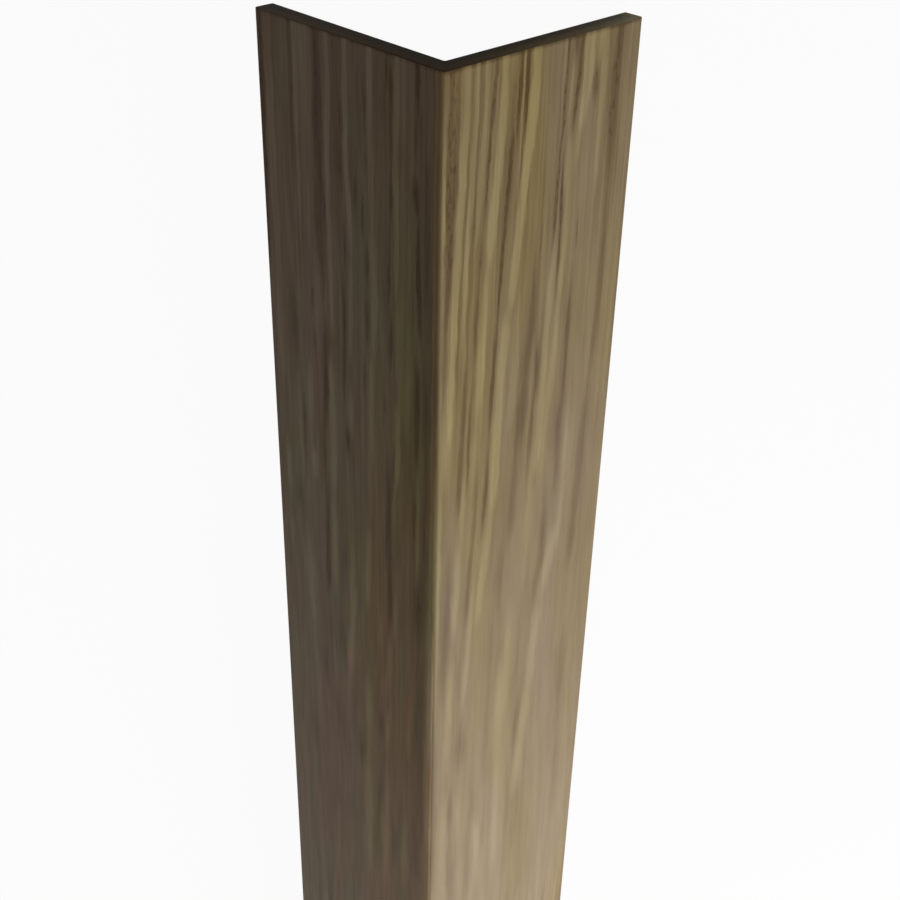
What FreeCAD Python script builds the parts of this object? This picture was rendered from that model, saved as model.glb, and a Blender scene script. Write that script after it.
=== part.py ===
import FreeCAD, Part
import math
import os

# Corner guard moulding: one extruded angle of two equal legs, cut square at both ends.
# It lies as a tent on the inner corners of its two leg tips, ridge up, with its length along Y.
# The origin is on the floor, midway along the length and midway between the legs.

# Driving dimensions, in millimetres and degrees
LENGTH = 1219.2  # cut length of the stock, four feet
LEG_WIDTH = 38.1  # outer face of a leg, from the sharp line of the ridge to the tip
WALL = 3.175  # thickness of a leg
CORNER_ANGLE = 90.0  # angle between the two legs, inside
RIDGE_RADIUS = 0.8  # rounding of the outer corner where the legs meet
ROOT_RADIUS = 0.2  # rounding of the inner corner where the legs meet
TIP_RADIUS = 0.3  # rounding of both corners of each leg's tip

# Each leg falls away from the ridge at half the corner angle from the vertical
HALF_ANGLE = math.radians(CORNER_ANGLE / 2)
ACROSS = math.sin(HALF_ANGLE)
DOWN = math.cos(HALF_ANGLE)

# The rounded tips touch the floor, so the sharp ridge line stands this far above it
TIP_DROP = LEG_WIDTH * DOWN + WALL * ACROSS
TIP_EASING = TIP_RADIUS * (ACROSS + DOWN - 1)
RIDGE_HEIGHT = TIP_DROP - TIP_EASING


def section_point(side, along_leg, depth):
    """A point of the section: distance down a leg from the ridge, and depth below its outer face."""
    x = along_leg * ACROSS - depth * DOWN
    z = RIDGE_HEIGHT - along_leg * DOWN - depth * ACROSS
    return FreeCAD.Vector(side * x, -LENGTH / 2, z)


def lengthwise_edges(solid, corner):
    """The edges of the extrusion that run along its length from one corner of the section."""
    middle = corner + FreeCAD.Vector(0, LENGTH / 2, 0)
    return [edge for edge in solid.Edges if edge.CenterOfMass.isEqual(middle, Part.Precision.confusion())]


def corner_guard():
    """The whole moulding, extruded from its sharp section and then rounded along its length."""
    right, left = 1, -1
    inner_corner = WALL / math.tan(HALF_ANGLE)
    ridge = section_point(right, 0, 0)
    root = section_point(right, inner_corner, WALL)
    right_tip = [section_point(right, LEG_WIDTH, depth) for depth in (0, WALL)]
    left_tip = [section_point(left, LEG_WIDTH, depth) for depth in (WALL, 0)]

    outline = Part.makePolygon([ridge, *right_tip, root, *left_tip, ridge])
    solid = Part.Face(outline).extrude(FreeCAD.Vector(0, LENGTH, 0))

    rounded_corners = [(ridge, RIDGE_RADIUS), (root, ROOT_RADIUS)]
    rounded_corners += [(corner, TIP_RADIUS) for corner in right_tip + left_tip]
    for corner, radius in rounded_corners:
        solid = solid.makeFillet(radius, lengthwise_edges(solid, corner))
    return solid


os.makedirs("parts", exist_ok=True)
corner_guard().exportStep("parts/corner_guard.step")
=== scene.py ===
import math
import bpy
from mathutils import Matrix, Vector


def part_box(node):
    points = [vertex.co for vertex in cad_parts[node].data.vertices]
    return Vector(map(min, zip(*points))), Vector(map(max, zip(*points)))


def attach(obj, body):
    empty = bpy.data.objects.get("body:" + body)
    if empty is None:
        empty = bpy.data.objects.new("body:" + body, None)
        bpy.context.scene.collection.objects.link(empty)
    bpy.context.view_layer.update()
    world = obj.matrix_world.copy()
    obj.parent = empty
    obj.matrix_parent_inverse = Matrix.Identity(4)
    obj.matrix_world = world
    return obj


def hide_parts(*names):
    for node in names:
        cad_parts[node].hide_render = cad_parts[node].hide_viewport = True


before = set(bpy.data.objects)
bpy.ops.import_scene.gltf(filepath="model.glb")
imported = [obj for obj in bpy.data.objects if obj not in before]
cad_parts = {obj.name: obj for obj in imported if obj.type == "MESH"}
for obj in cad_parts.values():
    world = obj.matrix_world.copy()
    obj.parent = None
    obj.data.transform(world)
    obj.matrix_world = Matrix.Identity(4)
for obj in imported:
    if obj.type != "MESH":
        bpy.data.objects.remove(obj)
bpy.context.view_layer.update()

from types import SimpleNamespace

import bpy
from mathutils import Matrix, Vector


# The corner guard: one straight angle of rigid plastic with two equal legs, extruded in one
# piece and sawn square at both ends. A printed film covers its outer faces and its tips, and
# the inside, which is bonded to the corner of a wall, is the bare dark core.
MM = 0.001
WALL = 3.175 * MM
RIDGE_RADIUS = 0.8 * MM
ROOT_RADIUS = 0.2 * MM
TIP_RADIUS = 0.3 * MM
SAWN_ARRIS = 0.1 * MM  # the fine bevel round each sawn end
ARC_STEPS = 8
SLOPE = math.sqrt(0.5)  # both legs fall away from the ridge at 45 degrees

guard_low, guard_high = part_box("corner_guard")
FAR_END = guard_low.y
NEAR_END = guard_high.y
TIP_EASING = TIP_RADIUS * (2 * SLOPE - 1)
LEG_WIDTH = (guard_high.x + TIP_EASING) / SLOPE
RIDGE_HEIGHT = guard_low.z + (LEG_WIDTH + WALL) * SLOPE - TIP_EASING


def section_corner(side, along_leg, depth):
    """A sharp corner of the section, down a leg from the ridge and below its outer face."""
    across = side * SLOPE * (along_leg - depth)
    return Vector((across, RIDGE_HEIGHT - SLOPE * (along_leg + depth)))


def rounded_section():
    """The outline from the left leg's inner tip over the ridge and back: points and outward normals."""
    left, right = -1, 1
    corners = [
        (section_corner(left, LEG_WIDTH, WALL), TIP_RADIUS),
        (section_corner(left, LEG_WIDTH, 0), TIP_RADIUS),
        (section_corner(right, 0, 0), RIDGE_RADIUS),
        (section_corner(right, LEG_WIDTH, 0), TIP_RADIUS),
        (section_corner(right, LEG_WIDTH, WALL), TIP_RADIUS),
        (section_corner(right, WALL, WALL), ROOT_RADIUS),
    ]
    rounded = []
    for index, (corner, radius) in enumerate(corners):
        before = (corners[index - 1][0] - corner).normalized()
        after = (corners[(index + 1) % len(corners)][0] - corner).normalized()
        half_angle = before.angle(after) / 2
        centre = corner + (before + after).normalized() * radius / math.sin(half_angle)
        first_arm = corner + before * radius / math.tan(half_angle) - centre
        outward = math.copysign(1, before.cross(after))
        for step in range(ARC_STEPS + 1):
            sweep = -outward * (math.pi - 2 * half_angle) * step / ARC_STEPS
            arm = Matrix.Rotation(sweep, 2) @ first_arm
            rounded.append((centre + arm, outward * arm.normalized()))
    return rounded


outline = rounded_section()
POINTS = len(outline)
CORNER_POINTS = ARC_STEPS + 1
RIDGE_POINT = 2 * CORNER_POINTS + ARC_STEPS // 2
LAST_FILM_POINT = 5 * CORNER_POINTS - 1

# Distance round the outline to each point, and on to the first one again
round_lengths = [0.0]
for index in range(1, POINTS + 1):
    step = outline[index % POINTS][0] - outline[index - 1][0]
    round_lengths.append(round_lengths[-1] + step.length)
FILM_WIDTH = round_lengths[LAST_FILM_POINT]
BARE_WIDTH = round_lengths[POINTS] - FILM_WIDTH

# Four rings of points along the length: the edge of each sawn face and, an arris back, of the long faces
FAR_SAWN, FAR_SIDE, NEAR_SIDE, NEAR_SAWN = range(4)
rings = [
    (FAR_END, SAWN_ARRIS),
    (FAR_END + SAWN_ARRIS, 0),
    (NEAR_END - SAWN_ARRIS, 0),
    (NEAR_END, SAWN_ARRIS),
]
vertices, sheet_places = [], []
for along, inset in rings:
    for (point, normal), round_length in zip(outline, round_lengths):
        edge = point - normal * inset
        vertices.append((edge.x, along, edge.y))
        from_ridge = round_length - round_lengths[RIDGE_POINT]
        sheet_places.append((from_ridge / MM, (NEAR_END - along) / MM, 0.0))

# The bake's layout: the film on the broad left part, the bare inside at the right, the ends below it
FAR, NEAR = -1, 1
FILM_PATCH = (0.01, 0.01, 0.80, 0.99)
BARE_PATCH = (0.82, 0.12, 0.99, 0.99)
END_PATCHES = {NEAR: (0.82, 0.01, 0.99, 0.05), FAR: (0.82, 0.06, 0.99, 0.10)}


def in_patch(patch, across, up):
    """A place in one patch of the bake's layout, from shares of the patch's width and height."""
    left, bottom, right, top = patch
    return (left + (right - left) * across, bottom + (top - bottom) * up)


def side_place(corner, round_length, is_film):
    """Where a corner of a long face lies in the bake's layout."""
    share_along = (vertices[corner][1] - FAR_END) / (NEAR_END - FAR_END)
    if is_film:
        return in_patch(FILM_PATCH, round_length / FILM_WIDTH, share_along)
    return in_patch(BARE_PATCH, (round_length - FILM_WIDTH) / BARE_WIDTH, share_along)


def end_place(corner, end):
    """Where a corner of a sawn end lies in the bake's layout."""
    x, _, z = vertices[corner]
    across = (x - guard_low.x) / (guard_high.x - guard_low.x)
    up = (z - guard_low.z) / (guard_high.z - guard_low.z)
    return in_patch(END_PATCHES[end], across, up)


def leaning_normal(corner, lean):
    """The outline's normal at a corner, leaning to the far or the near end, or upright at 0."""
    normal = outline[corner % POINTS][1]
    return Vector((normal.x, lean, normal.y)).normalized()


def strip_corners(ring, index):
    """The corners of the face between one step of the outline on a ring and on the next ring."""
    here, onward = ring * POINTS, (ring + 1) * POINTS
    following = (index + 1) % POINTS
    return [here + index, here + following, onward + following, onward + index]


RIGHT_FILM, LEFT_FILM, CORE = 0, 1, 2
faces, finishes, normals, bake_places = [], [], [], []


def add_long_faces(ring):
    """The long faces: film over the outside and the tips, and the bare inside."""
    for index in range(POINTS):
        corners = strip_corners(ring, index)
        is_film = index < LAST_FILM_POINT
        film = LEFT_FILM if index < RIDGE_POINT else RIGHT_FILM
        faces.append(corners)
        finishes.append(film if is_film else CORE)
        for corner, step in zip(corners, (index, index + 1, index + 1, index)):
            normals.append(leaning_normal(corner, 0))
            bake_places.append(side_place(corner, round_lengths[step], is_film))


def add_arris(ring, end):
    """The fine bevel between a sawn face and the long faces."""
    for index in range(POINTS):
        corners = strip_corners(ring, index)
        faces.append(corners)
        finishes.append(CORE)
        normals.extend(leaning_normal(corner, end) for corner in corners)
        bake_places.extend(end_place(corner, end) for corner in corners)


def add_sawn_face(ring, end):
    """The flat face that the saw leaves at one end."""
    corners = [ring * POINTS + index for index in range(POINTS)]
    if end == FAR:
        corners.reverse()
    faces.append(corners)
    finishes.append(CORE)
    normals.extend([Vector((0, end, 0))] * POINTS)
    bake_places.extend(end_place(corner, end) for corner in corners)


add_arris(FAR_SAWN, FAR)
add_long_faces(FAR_SIDE)
add_arris(NEAR_SIDE, NEAR)
add_sawn_face(FAR_SAWN, FAR)
add_sawn_face(NEAR_SAWN, NEAR)

guard_mesh = bpy.data.meshes.new("corner_guard_moulding")
guard_mesh.from_pydata(vertices, [], faces)
guard_mesh.polygons.foreach_set("material_index", finishes)
guard_mesh.polygons.foreach_set("use_smooth", [True] * len(faces))
bake_map = guard_mesh.uv_layers.new(name="OFBake")
bake_map.data.foreach_set("uv", [value for place in bake_places for value in place])
grain_sheet = guard_mesh.attributes.new("grain_sheet", "FLOAT_VECTOR", "POINT")
grain_sheet.data.foreach_set("vector", [value for place in sheet_places for value in place])
guard_mesh.normals_split_custom_set(normals)
guard_mesh.validate()
moulding = bpy.data.objects.new("corner_guard_moulding", guard_mesh)
bpy.context.scene.collection.objects.link(moulding)
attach(moulding, "root")
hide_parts("corner_guard")


# The film: a matt printed foil of brown oak, laid over the outer faces and round the tips. Its
# grain runs along the length and drifts a little towards the ridge. The two legs show different
# parts of the print, so each has a material of its own.
def linear(red, green, blue):
    """A colour written in screen values as the shader's linear values."""
    shares = [value / 255 for value in (red, green, blue)]
    return [s / 12.92 if s <= 0.04045 else ((s + 0.055) / 1.055) ** 2.4 for s in shares] + [1.0]


def add_node(tree, kind, sockets, **settings):
    """One node with its settings, each socket given a value or the output that feeds it."""
    node = tree.nodes.new(kind)
    for name, value in settings.items():
        setattr(node, name, value)
    for name, value in sockets.items():
        if isinstance(value, bpy.types.NodeSocket):
            tree.links.new(value, node.inputs[name])
        else:
            node.inputs[name].default_value = value
    return node


def maths(tree, operation, *values):
    """The result of one sum on values or outputs."""
    return add_node(tree, "ShaderNodeMath", dict(enumerate(values)), operation=operation).outputs[0]


def stretched_noise(tree, across, along, waves, detail, seed):
    """Noise drawn out along the grain, from its waves per mm across and along."""
    crosswise, lengthwise = waves
    wide = maths(tree, "MULTIPLY_ADD", across, crosswise, seed)
    long = maths(tree, "MULTIPLY_ADD", along, lengthwise, seed)
    place = add_node(tree, "ShaderNodeCombineXYZ", {"X": wide, "Y": long, "Z": 0.0})
    noise = add_node(
        tree,
        "ShaderNodeTexNoise",
        {"Vector": place.outputs[0], "Scale": 1.0, "Detail": detail},
        noise_dimensions="2D",
    )
    return noise.outputs["Fac"]


def eased(tree, value, low, high, low_result=0.0, high_result=1.0):
    """A value eased from one range to another. The smooth step itself holds it at the ends."""
    curve = add_node(
        tree,
        "ShaderNodeMapRange",
        {"Value": value, "From Min": low, "From Max": high, "To Min": low_result, "To Max": high_result},
        interpolation_type="SMOOTHSTEP",
        clamp=False,
    )
    return curve.outputs[0]


def tone_ramp(tree, tone, stops):
    """The colour of each tone, from stops of position and colour."""
    ramp = add_node(tree, "ShaderNodeValToRGB", {"Fac": tone})
    elements = ramp.color_ramp.elements
    for position, colour in stops:
        elements.new(position).color = colour
    elements.remove(elements[0])
    elements.remove(elements[-1])
    return ramp.outputs["Color"]


def mixed_colours(tree, share, first, second, blend="MIX"):
    """A mix of two colours, from all of the first at a share of 0 to all of the second at 1."""
    mix = add_node(tree, "ShaderNodeMix", {"Factor": share}, data_type="RGBA", blend_type=blend)
    for name, colour in (("A", first), ("B", second)):
        socket = next(s for s in mix.inputs if s.name == name and s.type == "RGBA")
        if isinstance(colour, bpy.types.NodeSocket):
            tree.links.new(colour, socket)
        else:
            socket.default_value = colour
    return next(s for s in mix.outputs if s.type == "RGBA")


def new_material(name):
    """A new node material, its tree and its shader."""
    material = bpy.data.materials.new(name)
    material.use_nodes = True
    tree = material.node_tree
    return material, tree, tree.nodes["Principled BSDF"]


# The bands of the print near the end that shows, listed one by one: each has its width and strength,
# then its course as points in mm from the ridge and mm from the near end
# A few of these bands are painted light and shade along the ridge and the left tip, not print; each is
# marked where it stands
RIGHT_DARK_BANDS = [
    (1.4, 0.80, (1.3, -12), (1.3, 12), (1.2, 34)),
    (0.8, 0.55, (2.6, -4), (2.3, 12), (1.8, 24), (1.2, 34), (0.8, 48)),
    (0.6, 0.45, (4.9, -6), (4.5, 14), (3.9, 30), (3.4, 44)),
    (0.6, 0.40, (6.6, -6), (6.1, 14), (5.6, 30), (5.2, 44)),
    (0.7, 0.85, (9.3, -6), (9.0, 4), (8.3, 13), (7.8, 22)),
    (0.6, 0.60, (7.6, 23), (7.3, 32)),
    (0.8, 0.90, (7.2, 33), (6.9, 42)),
    (0.6, 0.80, (6.5, 47), (6.2, 56), (6.1, 64)),
    (0.55, 0.90, (14.0, -6), (13.8, 4), (13.5, 11)),
    (1.7, 0.45, (13.2, 0), (12.8, 12), (12.4, 24)),
    (0.7, 0.90, (12.6, 12), (12.1, 20), (11.6, 30), (11.2, 39)),
    (0.7, 0.95, (11.1, 40), (10.7, 48), (10.4, 56)),
    (0.9, 0.55, (10.4, 57), (10.2, 66), (10.0, 74)),
    (0.65, 1.10, (15.2, -8), (15.1, 3), (15.0, 11)),
    (0.4, 0.60, (14.8, 12), (14.5, 22)),
    (0.6, 0.75, (22.9, -6), (22.7, 8), (22.3, 20), (22.1, 30)),
    (1.2, 0.70, (24.5, -4), (24.4, 3)),
    (0.7, 0.75, (25.7, -1), (25.2, 7), (24.7, 13)),
    (0.6, 0.85, (23.2, 16), (23.3, 24), (23.4, 36)),
    (1.6, 0.70, (29.0, 5), (29.1, 10)),
    (1.2, 0.25, (29.3, 10), (29.3, 20)),
    (0.5, 0.60, (27.2, 26), (27.1, 31)),
    (1.5, 0.65, (26.6, 36), (26.5, 50), (26.4, 64), (26.2, 78)),
    (0.6, 0.30, (26.8, 40), (26.7, 50), (26.8, 58)),
    (0.4, 0.40, (18.3, 30), (18.4, 37)),
    (0.4, 0.40, (19.6, 25), (19.5, 31)),
    (1.6, 0.70, (18.9, 32), (18.5, 46)),
    (2.0, 0.75, (18.0, 42), (17.6, 54), (16.9, 62)),
    (1.8, 0.45, (16.8, 62), (16.6, 70), (16.3, 78)),
    (0.9, 0.50, (19.9, 44), (20.3, 52)),
    (0.9, 0.50, (20.3, 46), (20.0, 58)),
    (0.9, 0.65, (19.7, 54), (19.4, 66)),
    (1.5, 0.50, (33.6, -8), (33.6, 8)),
    (2.0, 0.45, (33.2, 4), (33.2, 24)),
    (1.2, 0.50, (33.5, 28), (33.3, 42), (32.9, 54)),
    (1.8, 0.60, (32.6, 56), (32.2, 68), (31.9, 78), (31.4, 90)),
    (2.6, 0.25, (32.6, -8), (32.8, 24)),
    (1.0, 0.80, (5.3, 44), (4.9, 52), (4.5, 60), (4.3, 68)),
    (0.9, 0.60, (8.3, 62), (7.9, 72), (7.4, 80), (6.8, 90)),
    (0.6, 0.50, (10.3, 62), (10.0, 70), (9.6, 76)),
    (2.0, 0.40, (14.4, 80), (14.2, 90)),
    (1.0, 0.30, (13.2, 88), (13.2, 104)),
    (1.8, 0.60, (24.5, 74), (24.1, 90)),
    (1.6, 0.45, (23.4, 88), (22.6, 96)),
    (2.0, 0.45, (25.5, 56), (25.4, 66)),
    (1.3, 0.50, (2.7, 80), (2.5, 96)),
    (2.0, 0.40, (2.0, 82), (2.0, 102)),
    (1.0, 0.40, (5.9, 96), (5.6, 108)),
    (2.6, 0.60, (6.6, 114), (6.8, 122)),
    (1.4, 0.30, (12.8, 104), (12.9, 128)),
    (1.4, 0.40, (20.4, 116), (20.0, 126)),
    (1.6, 0.25, (19.4, 104), (19.0, 118)),
    (1.6, 0.25, (19.8, 126), (19.4, 146)),
    (2.4, 0.45, (31.5, 106), (31.4, 124)),
    (2.2, 0.35, (32.0, 124), (32.2, 140)),
    (1.2, 0.50, (4.3, 128), (4.4, 137)),
    (1.4, 0.50, (4.6, 142), (4.8, 154)),
    # painted shade: the next band darkens the right leg along the ridge, softening the step from the shaded
    # left leg
    (1.6, 0.45, (0.4, 112), (0.4, 134), (0.4, 156)),
    (1.6, 0.25, (9.8, 130), (10.0, 140)),
    (1.5, 0.35, (8.8, 142), (9.2, 156)),
]
RIGHT_PALE_BANDS = [
    (1.1, 0.75, (4.2, -8), (4.1, 6), (3.6, 14), (3.2, 22), (2.8, 34), (2.3, 46), (2.2, 54)),
    (0.7, 0.60, (5.9, -4), (5.7, 8), (5.2, 18), (4.7, 27), (4.4, 38)),
    (0.6, 0.55, (7.7, -4), (7.5, 6), (7.0, 14), (6.6, 24)),
    (1.3, 0.95, (10.9, -8), (10.8, 6), (10.4, 14), (9.6, 21), (9.2, 28)),
    (1.3, 0.70, (8.9, 30), (8.4, 42), (7.8, 52)),
    (1.0, 0.60, (7.5, 54), (7.2, 64)),
    (0.35, 0.70, (14.5, -2), (14.4, 6), (14.2, 14)),
    (0.6, 0.50, (14.1, 14), (14.0, 20)),
    (1.4, 1.00, (16.9, -8), (16.7, 6), (16.1, 13), (15.2, 20), (14.6, 28), (14.0, 36)),
    (1.6, 1.00, (13.2, 38), (12.6, 46), (12.2, 56), (12.0, 64), (11.7, 70)),
    (1.4, 0.70, (11.5, 70), (11.0, 77), (10.2, 84), (9.4, 92)),
    (1.3, 0.45, (22.9, 48), (22.8, 58), (22.4, 70)),
    (1.3, 0.30, (36.4, -6), (36.3, 20), (36.3, 60)),
    (1.1, 0.45, (35.0, 26), (35.0, 44), (35.0, 62)),
    (1.4, 0.60, (29.2, -6), (29.2, 3)),
    (1.3, 0.50, (15.4, 36), (15.4, 46), (15.0, 56)),
    (0.7, 0.70, (24.0, 4), (23.7, 12)),
    (1.4, 0.75, (24.0, 14), (24.4, 22)),
    (0.9, 0.70, (24.6, 22), (24.6, 30), (24.4, 37)),
    (1.1, 0.55, (24.0, 38), (23.8, 54)),
    (1.7, 0.80, (27.3, -8), (27.2, 4), (26.6, 12)),
    (0.9, 0.55, (26.4, 10), (25.7, 18)),
    (1.0, 0.45, (30.6, -6), (30.5, 8), (30.5, 20)),
    (1.2, 0.65, (22.6, 30), (22.1, 40), (21.7, 52)),
    (1.6, 0.65, (21.7, 52), (21.5, 62), (21.0, 68)),
    (1.5, 0.50, (20.6, 68), (20.3, 78), (20.0, 90)),
    (1.3, 0.60, (28.4, 60), (28.4, 74)),
    (1.3, 0.45, (28.2, 76), (27.8, 84)),
    (2.2, 0.75, (27.2, 82), (26.0, 88), (25.0, 94)),
    (2.1, 0.60, (24.5, 96), (23.8, 104), (23.2, 111), (22.4, 120), (21.6, 130), (20.9, 138)),
    (0.9, 0.60, (5.4, 64), (5.1, 72)),
    (1.2, 0.65, (4.9, 74), (4.6, 84), (4.2, 92)),
    (1.0, 0.60, (8.4, 84), (7.8, 92), (7.4, 100), (6.9, 108)),
    (1.3, 0.45, (17.3, 94), (17.0, 104)),
    (2.2, 0.70, (16.2, 104), (15.9, 114), (15.8, 124)),
    (1.9, 0.50, (16.0, 126), (16.0, 140), (16.2, 156)),
    (1.5, 0.75, (3.6, 98), (3.4, 108), (3.1, 120)),
    (1.6, 0.40, (2.6, 130), (2.8, 142), (3.2, 156)),
    (1.5, 0.45, (6.2, 130), (6.8, 140)),
    (1.4, 0.35, (7.2, 142), (7.5, 156)),
    (1.6, 0.45, (10.8, 138), (11.6, 146), (12.4, 156)),
    # painted light: the next band lightens the right leg just beside the ridge
    (1.0, 0.80, (0.4, 68), (0.3, 98)),
    (2.2, 0.60, (1.5, 50), (1.5, 61)),
    # painted highlight: the last two bands lay a pale line along the ridge's rounding
    (0.55, 0.80, (0.2, 10), (0.2, 26)),
    (0.55, 0.40, (0.1, 0), (0.1, 30), (0.1, 60)),
]
LEFT_DARK_BANDS = [
    # painted shade: the next band darkens the outer mm of the left leg along its tip
    (1.2, 0.90, (37.1, -8), (37.1, 10), (37.4, 24), (37.8, 40)),
    (0.9, 0.60, (30.5, -6), (30.5, 10), (30.7, 24)),
    (1.8, 0.65, (25.0, -8), (25.0, 12), (25.0, 26), (24.8, 38)),
    (2.2, 0.22, (16.6, -8), (16.6, 12), (16.6, 30)),
    (0.5, 0.60, (23.9, 7), (23.9, 15)),
    (0.5, 0.60, (23.8, 22), (23.9, 29)),
    (1.9, 0.35, (20.9, -8), (20.9, 12), (20.8, 30)),
    (0.5, 0.55, (20.1, 8), (20.0, 13)),
    (0.6, 0.40, (20.2, 14), (20.0, 22)),
    (0.7, 0.75, (19.6, 27), (19.5, 33)),
    (0.7, 0.90, (19.9, 36), (20.0, 48)),
    (0.8, 0.75, (20.3, 46), (20.4, 56)),
    (1.0, 0.80, (19.8, 60), (19.7, 65)),
    (0.6, 0.65, (15.0, 4), (14.9, 12)),
    (0.6, 0.60, (14.8, 14), (14.8, 18)),
    (0.7, 0.90, (15.6, 21), (15.5, 27)),
    (0.5, 0.50, (17.0, 19), (17.1, 24)),
    (0.8, 0.75, (14.7, 28), (14.7, 34)),
    (0.8, 0.90, (14.8, 36), (15.1, 44)),
    (0.7, 0.60, (15.4, 46), (15.6, 52)),
    (0.5, 0.70, (10.4, 0), (10.4, 4)),
    (0.6, 0.80, (9.6, 2), (9.6, 7)),
    (0.5, 0.60, (9.7, 8), (9.6, 15)),
    (0.6, 0.90, (9.5, 16), (9.6, 22)),
    (0.6, 0.70, (9.9, 28), (10.2, 36)),
    (0.7, 0.80, (9.5, 37), (9.7, 45)),
    (0.7, 0.50, (11.0, 51), (11.0, 54)),
    (0.7, 1.00, (4.7, -4), (4.6, 6)),
    (0.6, 0.70, (4.9, 7), (4.8, 14)),
    (1.2, 1.00, (4.7, 15), (4.6, 20)),
    (0.9, 0.90, (4.4, 20), (4.0, 30), (3.6, 38)),
    (1.2, 0.90, (4.2, 43), (4.1, 51), (4.2, 60)),
    (1.2, 0.80, (4.5, 64), (4.6, 78)),
    (1.8, 0.45, (2.6, 14), (2.6, 40)),
    (1.6, 0.50, (2.2, 42), (2.2, 60)),
    (1.0, 0.60, (2.5, 64), (2.4, 80)),
    (2.6, 0.85, (3.4, 80), (3.3, 92)),
    (2.6, 0.55, (3.2, 94), (3.0, 108), (2.8, 121)),
    (2.4, 0.45, (3.2, 122), (3.4, 136)),
    (1.8, 0.45, (3.6, 138), (3.7, 150)),
    (1.6, 0.75, (32.0, 40), (31.8, 54)),
    (0.9, 0.70, (27.3, 39), (27.3, 43)),
    (0.9, 0.75, (27.2, 46), (27.1, 50)),
    (1.3, 0.85, (24.4, 44), (24.6, 54), (25.1, 62)),
    (1.1, 0.70, (25.6, 60), (25.7, 72)),
    (1.2, 0.75, (25.3, 74), (25.5, 88), (25.8, 96)),
    (0.8, 0.80, (30.4, 58), (30.4, 69)),
    (1.3, 0.75, (10.4, 64), (10.3, 76), (10.2, 88), (10.2, 97)),
    (0.7, 0.60, (9.2, 60), (9.5, 68)),
    (1.8, 0.60, (21.7, 83), (21.7, 93)),
    (2.8, 0.55, (33.0, 75), (32.6, 83)),
    (1.5, 0.45, (22.6, 100), (22.4, 110)),
    (1.8, 0.60, (17.8, 122), (17.6, 130)),
    (1.3, 0.65, (12.2, 127), (13.4, 139)),
    (1.1, 0.55, (12.3, 114), (12.3, 120)),
    (2.0, 0.45, (23.8, 118), (23.6, 126)),
    (1.6, 0.55, (27.2, 108), (27.0, 118)),
    (1.5, 0.50, (9.2, 138), (8.8, 150)),
    (1.2, 0.45, (13.6, 140), (14.2, 152)),
    (2.6, 0.35, (30.6, 128), (30.4, 136)),
]
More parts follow.
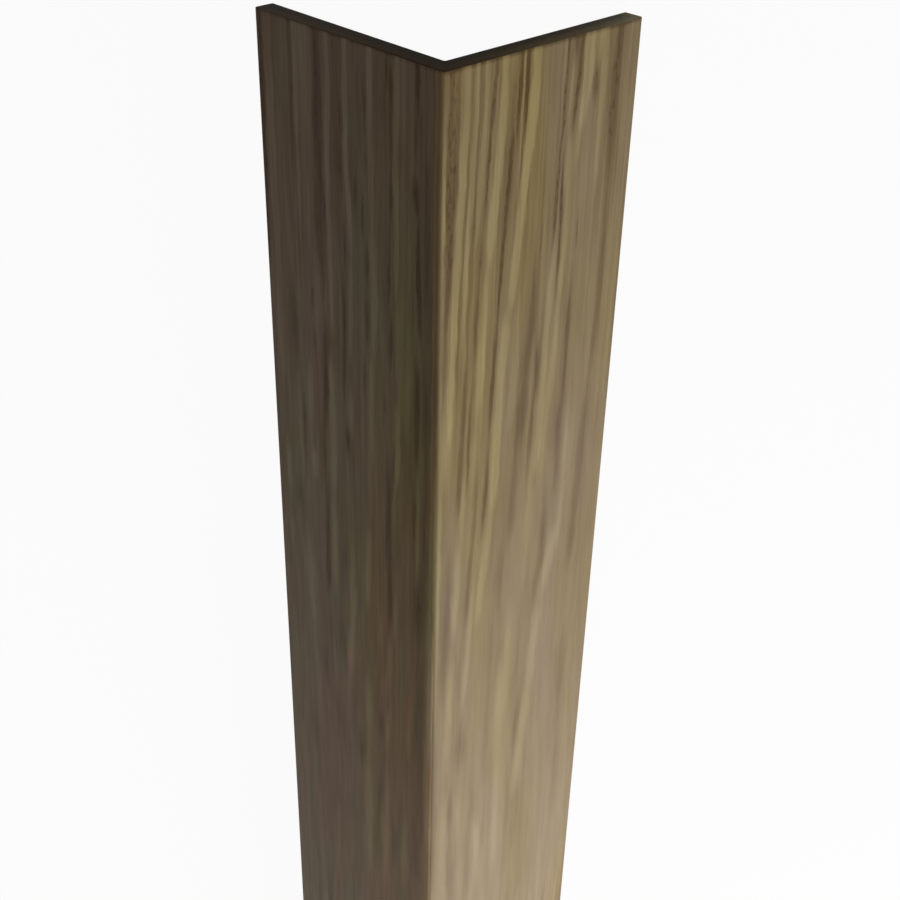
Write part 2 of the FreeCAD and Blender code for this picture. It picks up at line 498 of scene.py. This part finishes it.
LEFT_PALE_BANDS = [
    (0.9, 0.45, (0.7, -8), (0.7, 14), (0.6, 40)),
    # painted light: the next two bands lay the lit side of the ridge over the left leg's edge at the ridge
    (0.9, 1.00, (0.6, 54), (0.6, 80), (0.6, 112)),
    (2.5, 1.10, (0.3, 90), (0.3, 124), (0.3, 166)),
    (1.2, 0.55, (35.4, 2), (35.4, 20), (35.4, 40), (35.4, 58)),
    (0.9, 0.85, (29.3, -6), (29.4, 8), (29.6, 16)),
    (0.6, 0.70, (29.4, 18), (29.5, 30)),
    (2.2, 0.42, (27.4, -4), (27.2, 16)),
    (0.8, 0.85, (22.6, -8), (22.6, 8), (22.9, 20), (22.8, 32), (22.9, 41)),
    (1.1, 0.80, (22.8, 39), (22.7, 45)),
    (0.8, 0.90, (18.9, -8), (18.9, 6), (18.9, 15), (18.6, 25)),
    (1.0, 0.70, (18.5, 22), (18.2, 30)),
    (0.8, 0.80, (18.3, 32), (18.5, 40), (18.8, 47)),
    (0.9, 0.80, (13.9, -8), (13.9, 4), (13.7, 16), (13.6, 24)),
    (1.2, 0.85, (13.5, 26), (13.3, 36), (13.5, 44)),
    (1.0, 0.85, (14.0, 46), (14.1, 54), (14.2, 64)),
    (0.8, 0.75, (8.5, -6), (8.5, 6), (8.7, 16), (8.5, 26), (8.6, 33)),
    (0.8, 0.80, (8.1, 36), (8.2, 44), (7.9, 50)),
    (0.7, 0.40, (3.7, -2), (3.6, 5)),
    (2.0, 0.12, (6.5, -4), (6.4, 12), (6.3, 28)),
    (2.0, 0.35, (6.5, 34), (6.4, 52)),
    (0.5, 0.35, (27.4, 22), (27.6, 32)),
    (1.4, 0.60, (26.2, 34), (26.2, 48)),
    (1.3, 1.00, (23.4, 50), (23.3, 58), (23.3, 66), (23.5, 73)),
    (1.3, 0.95, (23.6, 74), (23.7, 84), (24.2, 94)),
    (1.1, 0.95, (18.9, 54), (18.8, 61)),
    (1.2, 0.45, (14.5, 64), (14.5, 74)),
    (1.2, 1.10, (14.9, 78), (15.3, 86), (15.5, 93)),
    (0.9, 1.10, (8.1, 50), (8.3, 60), (8.8, 66)),
    (0.8, 0.65, (9.0, 66), (9.1, 73)),
    (1.3, 0.90, (28.5, 53), (28.7, 64)),
    (1.4, 0.90, (28.4, 68), (28.2, 73)),
    (1.3, 0.80, (35.1, 71), (35.0, 79)),
    (1.0, 0.60, (35.1, 84), (35.0, 90)),
    (0.6, 0.60, (31.5, 58), (31.5, 74)),
    (0.9, 0.60, (19.0, 80), (19.1, 87)),
    (1.5, 1.05, (19.2, 86), (19.3, 94), (19.9, 102), (20.3, 110)),
    (0.8, 1.00, (3.8, 63), (3.8, 81)),
    (2.4, 0.80, (30.4, 87), (30.3, 96), (30.2, 108)),
    (1.2, 0.55, (12.4, 92), (12.2, 100)),
    (1.2, 0.60, (8.9, 88), (9.1, 96)),
    (1.3, 0.85, (10.0, 96), (10.6, 108)),
    (1.2, 0.85, (10.6, 114), (11.0, 122)),
    (1.9, 0.85, (11.1, 128), (11.4, 142), (11.7, 156)),
    (1.6, 0.75, (15.6, 110), (15.7, 122)),
    (1.8, 0.80, (16.0, 126), (16.0, 140), (16.4, 156)),
    (0.7, 0.75, (24.7, 106), (24.6, 114)),
    (1.3, 0.70, (29.5, 112), (29.3, 126)),
    (1.5, 0.60, (20.5, 104), (20.8, 122)),
    (1.4, 0.70, (6.2, 138), (6.6, 152)),
    (1.1, 0.60, (5.6, 111), (5.7, 119)),
]

# The inks of the print, from dark to pale
OLIVE_TONES = [
    (0.06, linear(98, 76, 43)),
    (0.26, linear(121, 100, 64)),
    (0.48, linear(149, 130, 88)),
    (0.86, linear(182, 164, 113)),
    (0.98, linear(190, 173, 122)),
]
BROWN_TONES = [
    (0.06, linear(105, 80, 53)),
    (0.48, linear(159, 132, 95)),
    (0.86, linear(192, 165, 123)),
    (0.98, linear(212, 189, 148)),
]
TAUPE_TONES = [
    (0.06, linear(100, 82, 62)),
    (0.48, linear(155, 136, 113)),
    (0.86, linear(184, 166, 140)),
]
REDDISH = (1.05, 0.965, 1.01, 1.0)
GREENISH = (0.955, 1.035, 0.975, 1.0)
FILM_ROUGHNESS = 0.45
FIBRE_ROUGHNESS = 0.12
PORE_ROUGHNESS = 0.15
FILM_SPECULAR = 0.07
FILM_RELIEF = 0.05 * MM

# What sets the print of each leg apart; tones run from 0, dark, to 1, pale, and lengths are in mm
RIGHT_LEG = SimpleNamespace(
    name="right",
    side=1,
    dark_bands=RIGHT_DARK_BANDS,
    pale_bands=RIGHT_PALE_BANDS,
    dark_depth=0.30,
    pale_depth=0.30,
    near_tones=OLIVE_TONES,
    far_tones=OLIVE_TONES,
    ground=(0.45, 0.475),  # the tone between the bands, at the near end and further along
    far_fibre=0.08,  # depth of the fibres further along
    stroke_depth=0.04,
    pore_depth=0.12,
    near_end_dark_length=0.8,
    near_end_dark_depth=0.35,
    near_grey=(0.0, 0.40),  # share of taupe at the near end, on the ridge and at the tip
    far_grey=(0.5, 0.6),  # the same further along
    grey_reach=(20.0, 120.0),
    ridge_grey=1.0,  # how much of the taupe is left on the line of the ridge
    tint_wander=0.0,  # how far the tint strays to red and to green
)
LEFT_LEG = SimpleNamespace(
    name="left",
    side=-1,
    dark_bands=LEFT_DARK_BANDS,
    pale_bands=LEFT_PALE_BANDS,
    dark_depth=0.38,
    pale_depth=0.37,
    near_tones=OLIVE_TONES,
    far_tones=BROWN_TONES,
    ground=(0.455, 0.475),
    far_fibre=0.24,
    stroke_depth=0.08,
    pore_depth=0.04,
    near_end_dark_length=0.7,
    near_end_dark_depth=0.24,
    near_grey=(0.75, 0.95),
    far_grey=(0.08, 0.9),
    grey_reach=(20.0, 65.0),
    ridge_grey=0.1,
    tint_wander=1.0,
)

# Where the print changes along the length, in mm from the near end
GROUND_TURN = (15.0, 70.0)
PORE_FADE = (15.0, 50.0)
FIBRE_FADE = (20.0, 100.0)
INK_TURN = (70.0, 110.0)
NEAR_RED_FADE = (5.0, 45.0)
FAR_RED_RISE = (80.0, 130.0)
RIDGE_RED_FADE = (110.0, 70.0)
OWN_BANDS_RISE = (150.0, 210.0)

# Where it changes across a leg, in mm from the ridge
TIP_GREY_RISE = (6.0, 28.0)
RIDGE_GREY_RISE = (0.5, 3.5)
RIDGE_RED_REACH = (4.5, 1.0)

# A band fades in from its foot to its crest, shares of a spindle's height, and softer further along
BAND_FOOT = 0.12
DARK_CREST = 0.95
PALE_CREST = 0.70
SOFT_CREST = 1.1
SOFTEST_AT = 100.0

# How far the grain sways and frays in mm, how it slants, and how deep its parts reach in tone
SWAY = 0.12
FRAY = 0.3
GRAIN_SLANT = 0.03
OWN_BAND_STRENGTH = 0.8
NEAR_FIBRE = 0.44
BROAD_DEPTH = 0.10
BAND_BREAKUP = 0.2
CLOUD_GREY = 0.2

# How far the tint turns red at the near end, further along and on the ridge
NEAR_RED = 0.35
FAR_RED = 0.2
RIDGE_RED = 0.5

# The levels of each noise between which its mark grows from nothing to full
OWN_DARK_LEVELS = (0.50, 0.36)
OWN_PALE_LEVELS = (0.54, 0.68)
FIBRE_LEVELS = (0.35, 0.65)
STROKE_LEVELS = (0.2, 0.8)
CLOUD_LEVELS = (0.3, 0.7)
TINT_LEVELS = (0.33, 0.67)
PORE_LEVELS = (0.64, 0.74)

# The level that a printed pore starts from, outside the dark bands and within them, and its edge
PORE_STARTS = (0.80, 0.54)
PORE_BANDS = (0.2, 0.8)
PORE_EDGE = 0.08


def frayed_grain(tree, across, along):
    """The place across the grain, which sways over some centimetres and is frayed by its fibres."""
    sway = stretched_noise(tree, across, along, waves=(0.03, 0.03), detail=1.0, seed=3.7)
    fray = stretched_noise(tree, across, along, waves=(1.3, 0.20), detail=3.0, seed=9.2)
    drift = maths(tree, "MULTIPLY_ADD", sway, 2 * SWAY, -SWAY)
    ragged = maths(tree, "MULTIPLY_ADD", fray, 2 * FRAY, -FRAY)
    return maths(tree, "ADD", maths(tree, "ADD", across, drift), ragged)


def laid_bands(tree, grain, bands, side, crest):
    """The summed strength of the listed bands on one leg, each a chain of long spindles."""
    total = 0.0
    for width, strength, *course in bands:
        softness = min(max(course[0][1], 0) / SOFTEST_AT, 1)
        chain = 0.0
        for start, stop in zip(course, course[1:]):
            first = Vector((side * start[0], start[1]))
            second = Vector((side * stop[0], stop[1]))
            way = second - first
            spindle = add_node(tree, "ShaderNodeTexGradient", {"Vector": grain}, gradient_type="SPHERICAL")
            place = spindle.texture_mapping
            place.vector_type = "TEXTURE"
            place.translation = ((first + second) / 2).to_3d()
            place.rotation.z = math.atan2(-way.x, way.y)
            place.scale = (width, way.length, 1)
            chain = maths(tree, "ADD", spindle.outputs["Fac"], chain)
        foot = BAND_FOOT * (1 - softness)
        flank = eased(tree, chain, foot, crest + (SOFT_CREST - crest) * softness)
        total = maths(tree, "MULTIPLY_ADD", flank, strength, total)
    return total


def grain_bands(tree, leg, grain_across, along):
    """The dark and the pale bands: listed near the end, and going on by themselves further along."""
    grain = add_node(tree, "ShaderNodeCombineXYZ", {"X": grain_across, "Y": along, "Z": 0.0}).outputs[0]
    dark = laid_bands(tree, grain, leg.dark_bands, leg.side, DARK_CREST)
    pale = laid_bands(tree, grain, leg.pale_bands, leg.side, PALE_CREST)
    slant = maths(tree, "MULTIPLY_ADD", along, GRAIN_SLANT, grain_across)
    own_bands = stretched_noise(tree, slant, along, waves=(0.55, 0.011), detail=2.0, seed=5.1)
    own_share = eased(tree, along, *OWN_BANDS_RISE)
    own_dark = maths(tree, "MULTIPLY", eased(tree, own_bands, *OWN_DARK_LEVELS), own_share)
    own_pale = maths(tree, "MULTIPLY", eased(tree, own_bands, *OWN_PALE_LEVELS), own_share)
    dark = maths(tree, "MULTIPLY_ADD", own_dark, OWN_BAND_STRENGTH, dark)
    pale = maths(tree, "MULTIPLY_ADD", own_pale, OWN_BAND_STRENGTH, pale)
    return dark, pale


def printed_colour(tree, leg, across, along, tone):
    """The colour of each tone of the print, as its inks change over the leg."""
    # it turns from olive to a greyer taupe in broad clouds, and towards the tips
    near_ridge, near_tip = leg.near_grey
    far_ridge, far_tip = leg.far_grey
    from_ridge = maths(tree, "ABSOLUTE", across)
    near_grey = eased(tree, from_ridge, *TIP_GREY_RISE, near_ridge, near_tip)
    gain = eased(tree, from_ridge, *TIP_GREY_RISE, far_ridge - near_ridge, far_tip - near_tip)
    greyer = maths(tree, "MULTIPLY_ADD", eased(tree, along, *leg.grey_reach), gain, near_grey)
    cloud = stretched_noise(tree, across, along, waves=(0.11, 0.02), detail=1.0, seed=6.4)
    greyer = maths(tree, "ADD", greyer, eased(tree, cloud, *CLOUD_LEVELS, -CLOUD_GREY, CLOUD_GREY))
    greyer = maths(tree, "MULTIPLY", greyer, eased(tree, from_ridge, *RIDGE_GREY_RISE, leg.ridge_grey, 1.0))
    ink_turn = eased(tree, along, *INK_TURN)
    near_ink = tone_ramp(tree, tone, leg.near_tones)
    warm = mixed_colours(tree, ink_turn, near_ink, tone_ramp(tree, tone, leg.far_tones))
    printed = mixed_colours(tree, greyer, warm, tone_ramp(tree, tone, TAUPE_TONES))

    # its tint wanders from reddish, most at the near end and on the ridge, to greenish
    wander = leg.tint_wander
    patch = stretched_noise(tree, across, along, waves=(0.20, 0.02), detail=1.0, seed=8.8)
    green = eased(tree, patch, *TINT_LEVELS, 0.5 - 0.5 * wander, 0.5 + 0.5 * wander)
    green = maths(tree, "ADD", green, eased(tree, along, *NEAR_RED_FADE, -NEAR_RED * wander, 0.0))
    green = maths(tree, "ADD", green, eased(tree, along, *FAR_RED_RISE, 0.0, -FAR_RED * wander))
    near_the_ridge = eased(tree, from_ridge, *RIDGE_RED_REACH)
    red_ridge = maths(tree, "MULTIPLY", near_the_ridge, eased(tree, along, *RIDGE_RED_FADE))
    green = maths(tree, "MULTIPLY_ADD", red_ridge, -RIDGE_RED * wander, green)
    return mixed_colours(tree, 1.0, printed, mixed_colours(tree, green, REDDISH, GREENISH), "MULTIPLY")


def wood_grain_film(leg):
    """The film's material on one leg, drawn on its flat sheet of mm from the ridge and the near end."""
    material, tree, shader = new_material("wood_grain_film_" + leg.name)
    sheet = add_node(tree, "ShaderNodeAttribute", {}, attribute_name="grain_sheet")
    flat = add_node(tree, "ShaderNodeSeparateXYZ", {"Vector": sheet.outputs["Vector"]})
    across, along = flat.outputs["X"], flat.outputs["Y"]
    grain_across = frayed_grain(tree, across, along)
    dark, pale = grain_bands(tree, leg, grain_across, along)

    # fine fibres and strokes over everything, and open pores as short dashes in the dark bands
    fibre = stretched_noise(tree, grain_across, along, waves=(1.5, 0.022), detail=3.0, seed=1.3)
    broad = stretched_noise(tree, grain_across, along, waves=(0.16, 0.009), detail=1.0, seed=7.9)
    strokes = stretched_noise(tree, grain_across, along, waves=(0.75, 0.07), detail=1.0, seed=11.3)
    pore_noise = stretched_noise(tree, across, along, waves=(2.6, 0.55), detail=1.0, seed=2.2)
    pore_start = eased(tree, dark, *PORE_BANDS, *PORE_STARTS)
    pores = eased(tree, maths(tree, "SUBTRACT", pore_noise, pore_start), 0.0, PORE_EDGE)

    # the tone of the print, from the ground between the bands to the film's edge, darkened over the last mm
    # at the near end
    thin, full = [leg.dark_depth * (1 + breakup) for breakup in (-BAND_BREAKUP, BAND_BREAKUP)]
    dark_gain = eased(tree, fibre, *FIBRE_LEVELS, thin, full)
    dark_share = maths(tree, "MULTIPLY", dark, dark_gain)
    ground = eased(tree, along, *GROUND_TURN, *leg.ground)
    tone = maths(tree, "MULTIPLY_ADD", pale, leg.pale_depth, maths(tree, "SUBTRACT", ground, dark_share))
    fibre_gain = eased(tree, along, *FIBRE_FADE, NEAR_FIBRE, leg.far_fibre)
    tone = maths(tree, "MULTIPLY_ADD", maths(tree, "SUBTRACT", fibre, 0.5), fibre_gain, tone)
    tone = maths(tree, "ADD", tone, maths(tree, "MULTIPLY_ADD", broad, 2 * BROAD_DEPTH, -BROAD_DEPTH))
    stroke = eased(tree, strokes, *STROKE_LEVELS, -leg.stroke_depth, leg.stroke_depth)
    tone = maths(tree, "ADD", tone, stroke)
    pore_depth = eased(tree, along, *PORE_FADE, leg.pore_depth, 0.0)
    tone = maths(tree, "SUBTRACT", tone, maths(tree, "MULTIPLY", pores, pore_depth))
    # the film is darker over the last mm before the near end, and not at the far end
    near_end_darkening = eased(tree, along, leg.near_end_dark_length, 0.0, 0.0, leg.near_end_dark_depth)
    tone = maths(tree, "SUBTRACT", tone, near_end_darkening)
    tree.links.new(printed_colour(tree, leg, across, along, tone), shader.inputs["Base Color"])

    # the print is a little rougher on the fibres and in the pores, which are pressed into it
    roughness = maths(tree, "MULTIPLY_ADD", fibre, FIBRE_ROUGHNESS, FILM_ROUGHNESS - FIBRE_ROUGHNESS / 2)
    roughness = maths(tree, "MULTIPLY_ADD", pores, PORE_ROUGHNESS, roughness)
    tree.links.new(roughness, shader.inputs["Roughness"])
    shader.inputs["Specular IOR Level"].default_value = FILM_SPECULAR
    raised = maths(tree, "MULTIPLY", fibre, 0.4)
    height = maths(tree, "SUBTRACT", raised, eased(tree, pore_noise, *PORE_LEVELS))
    relief = add_node(tree, "ShaderNodeBump", {"Height": height, "Strength": 0.25, "Distance": FILM_RELIEF})
    tree.links.new(relief.outputs["Normal"], shader.inputs["Normal"])
    return material


guard_mesh.materials.append(wood_grain_film(RIGHT_LEG))
guard_mesh.materials.append(wood_grain_film(LEFT_LEG))


# The core: the solid brown plastic under the film, bare on the inside and at the sawn ends. Its tone
# holds painted shade, darkest in the inner corner, and painted light, paler towards the tips and
# palest at the right tip; it is also paler towards the film. The die leaves faint lines along the
# inside, and the saw leaves fine strokes across the ends.
# painted light and shade: tones from the left tip (0) to the right one (1), darkest at the inner corner and
# palest at the right tip
CORE_LIT_AND_SHADED_TONES = [
    (0.03, linear(112, 103, 92)),
    (0.20, linear(106, 95, 85)),
    (0.45, linear(76, 68, 58)),
    (0.78, linear(97, 87, 73)),
    (0.94, linear(144, 134, 118)),
    (0.98, linear(198, 186, 158)),
]
# the same painted light and shade near the film, in paler tones
CORE_RIM_LIT_AND_SHADED_TONES = [
    (0.03, linear(146, 126, 110)),
    (0.16, linear(138, 119, 97)),
    (0.45, linear(96, 78, 63)),
    (0.66, linear(138, 120, 90)),
    (0.87, linear(186, 168, 132)),
    (0.97, linear(226, 212, 180)),
]
RIM_RISE = (2.8, -0.4)  # mm below the outer face
FLECKS_PER_MM = 1.8
FLECK_LEVELS = (0.3, 0.75)
FLECK_LIGHTNESS = (0.88, 1.12)
FLECK_ROUGHNESS = 0.2
CORE_ROUGHNESS = 0.7
CORE_SPECULAR = 0.02
CORE_RELIEF = 0.08 * MM


def dark_core():
    """The core's material: tones of painted light and shade from the left tip to the right one, fine
    flecks, and drawn lines.
    """
    material, tree, shader = new_material("dark_core")
    place = add_node(tree, "ShaderNodeTexCoord", {}).outputs["Object"]
    parts = add_node(tree, "ShaderNodeSeparateXYZ", {"Vector": place})
    across, along, up = [maths(tree, "DIVIDE", parts.outputs[axis], MM) for axis in "XYZ"]
    fleck_place = add_node(tree, "ShaderNodeCombineXYZ", {"X": across, "Y": along, "Z": up}).outputs[0]
    flecks = {"Vector": fleck_place, "Scale": FLECKS_PER_MM, "Detail": 4.0}
    fleck = add_node(tree, "ShaderNodeTexNoise", flecks).outputs["Fac"]

    below_ridge = maths(tree, "SUBTRACT", RIDGE_HEIGHT / MM, up)
    from_middle = maths(tree, "ABSOLUTE", across)
    depth = maths(tree, "MULTIPLY", maths(tree, "SUBTRACT", below_ridge, from_middle), SLOPE)
    from_left_tip = maths(tree, "MULTIPLY_ADD", across, 0.5 * MM / guard_high.x, 0.5)
    rim = eased(tree, depth, *RIM_RISE)
    # painted light and shade: darkest at the inner corner, palest at the right tip
    inner = tone_ramp(tree, from_left_tip, CORE_LIT_AND_SHADED_TONES)
    lit_and_shaded_core = mixed_colours(tree, rim, inner, tone_ramp(tree, from_left_tip, CORE_RIM_LIT_AND_SHADED_TONES))
    lightness = eased(tree, fleck, *FLECK_LEVELS, *FLECK_LIGHTNESS)
    flecked = mixed_colours(tree, 1.0, lit_and_shaded_core, lightness, "MULTIPLY")
    tree.links.new(flecked, shader.inputs["Base Color"])

    roughness = maths(tree, "MULTIPLY_ADD", fleck, FLECK_ROUGHNESS, CORE_ROUGHNESS - FLECK_ROUGHNESS / 2)
    tree.links.new(roughness, shader.inputs["Roughness"])
    shader.inputs["Specular IOR Level"].default_value = CORE_SPECULAR
    slanting = maths(tree, "ADD", across, up)
    lines = stretched_noise(tree, slanting, along, waves=(3.0, 0.01), detail=2.0, seed=4.4)
    height = maths(tree, "ADD", lines, maths(tree, "MULTIPLY", fleck, 0.5))
    relief = add_node(tree, "ShaderNodeBump", {"Height": height, "Strength": 0.4, "Distance": CORE_RELIEF})
    tree.links.new(relief.outputs["Normal"], shader.inputs["Normal"])
    return material


guard_mesh.materials.append(dark_core())


# The floor that the moulding lies on: a plain white sheet, wide enough to be seen from any side.
# The eye sees it as nearly plain white, with a faint soft shadow, while it throws little light
# back on the moulding.
FLOOR_REACH = 8.0
FLOOR_WHITENESS = 0.95
FLOOR_AS_SEEN = (0.95, 0.95, 0.95, 1)
FLOOR_AS_LIT = (0.35, 0.35, 0.35, 1)
FLOOR_ROUGHNESS = 0.9

floor_corners = [(x * FLOOR_REACH, y * FLOOR_REACH, 0) for x, y in ((-1, -1), (1, -1), (1, 1), (-1, 1))]
floor_mesh = bpy.data.meshes.new("floor")
floor_mesh.from_pydata(floor_corners, [], [(0, 1, 2, 3)])
floor = bpy.data.objects.new("floor", floor_mesh)
bpy.context.scene.collection.objects.link(floor)


def seen_directly(tree):
    """One for rays from the eye, and for those seen in a gloss or through glass."""
    path = add_node(tree, "ShaderNodeLightPath", {})
    seen = maths(tree, "MAXIMUM", path.outputs["Is Camera Ray"], path.outputs["Is Glossy Ray"])
    return maths(tree, "MAXIMUM", seen, path.outputs["Is Transmission Ray"])


def white_floor():
    """The floor's material: plain white to the eye, mixed with a matt grey that takes the shadow."""
    material, tree, shader = new_material("white_floor")
    seen = seen_directly(tree)
    colour = mixed_colours(tree, seen, FLOOR_AS_LIT, FLOOR_AS_SEEN)
    tree.links.new(colour, shader.inputs["Base Color"])
    shader.inputs["Roughness"].default_value = FLOOR_ROUGHNESS
    shader.inputs["Specular IOR Level"].default_value = 0.0
    white = add_node(tree, "ShaderNodeEmission", {"Color": (1, 1, 1, 1), "Strength": 1.0})
    share = maths(tree, "MULTIPLY", seen, FLOOR_WHITENESS)
    layers = {0: share, 1: shader.outputs[0], 2: white.outputs[0]}
    mix = add_node(tree, "ShaderNodeMixShader", layers)
    tree.links.new(mix.outputs[0], tree.nodes["Material Output"].inputs["Surface"])
    return material


floor_mesh.materials.append(white_floor())


# The studio: soft panels on both sides, the right ones stronger, so that the left leg is in shade,
# and a weak one over the floor beyond the near end, for its sawn face. A dim even sky fills the
# rest and looks white to the eye.
SKY_LEVEL = 0.04
world = bpy.data.worlds.new("studio")
bpy.context.scene.world = world
world.use_nodes = True
sky_tree = world.node_tree
sky = sky_tree.nodes["Background"]
sky.inputs["Color"].default_value = (1, 1, 1, 1)
sky_level = eased(sky_tree, seen_directly(sky_tree), 0.0, 1.0, SKY_LEVEL, 1.0)
sky_tree.links.new(sky_level, sky.inputs["Strength"])


def soft_panel(name, watts, size, place, aim):
    """A soft lamp, its long side along the moulding, turned towards a point."""
    lamp = bpy.data.lights.new(name, "AREA")
    lamp.shape = "RECTANGLE"
    lamp.energy = watts
    lamp.size, lamp.size_y = size
    panel = bpy.data.objects.new(name, lamp)
    panel.location = place
    towards = (Vector(aim) - Vector(place)).normalized()
    along = Vector((0, 1, 0))
    side = along.cross(-towards).normalized()
    panel.rotation_euler = Matrix((along, -side, -towards)).transposed().to_euler()
    panel.visible_camera = False
    bpy.context.scene.collection.objects.link(panel)


# Each panel: its watts, its length and width, where it hangs, and the point that it faces
PANELS = {
    "right_front_panel": (3.0, (0.30, 0.26), (0.38, 0.20, 0.21), (0, 0.20, 0.015)),
    "right_back_panel": (2.0, (0.5, 0.3), (0.5, -0.4, 0.4), (0, -0.4, 0.015)),
    "left_front_panel": (0.315, (0.28, 0.28), (-0.36, 0.15, 0.27), (0, 0.15, 0.015)),
    "front_panel": (0.5, (0.5, 0.3), (0, 1.2, 0.16), (0, 1.2, 0)),
    "left_back_panel": (1.3, (0.5, 0.3), (-0.38, -0.35, 0.30), (0, -0.35, 0.015)),
}
for name, (watts, size, place, aim) in PANELS.items():
    soft_panel(name, watts, size, place, aim)


# The camera: above the ridge and a little beyond the near end, looking down along the length, so
# that the near end is at the top of the picture. Places are in metres, turns in degrees.
EYE_BEYOND_END = 0.0532
EYE_HEIGHT = 0.1988
EYE_TO_RIGHT = 0.0030
EYE_PAN = -0.619
EYE_TILT = -32.481
EYE_ROLL = 2.095
LENS_MM = 56.119
SENSOR_MM = 36.0
NEAREST_SEEN = 0.01

camera_data = bpy.data.cameras.new("eye")
camera_data.sensor_width = SENSOR_MM
camera_data.lens = LENS_MM
camera_data.clip_start = NEAREST_SEEN
camera = bpy.data.objects.new("eye", camera_data)
pan = Matrix.Rotation(math.radians(EYE_PAN), 4, "Z")
tilt = Matrix.Rotation(math.radians(EYE_TILT), 4, "X")
roll = Matrix.Rotation(math.radians(EYE_ROLL), 4, "Z")
eye_place = Matrix.Translation((EYE_TO_RIGHT, NEAR_END + EYE_BEYOND_END, EYE_HEIGHT))
camera.matrix_world = eye_place @ pan @ tilt @ roll
bpy.context.scene.collection.objects.link(camera)
bpy.context.scene.camera = camera
bpy.context.scene.view_settings.view_transform = "Standard"
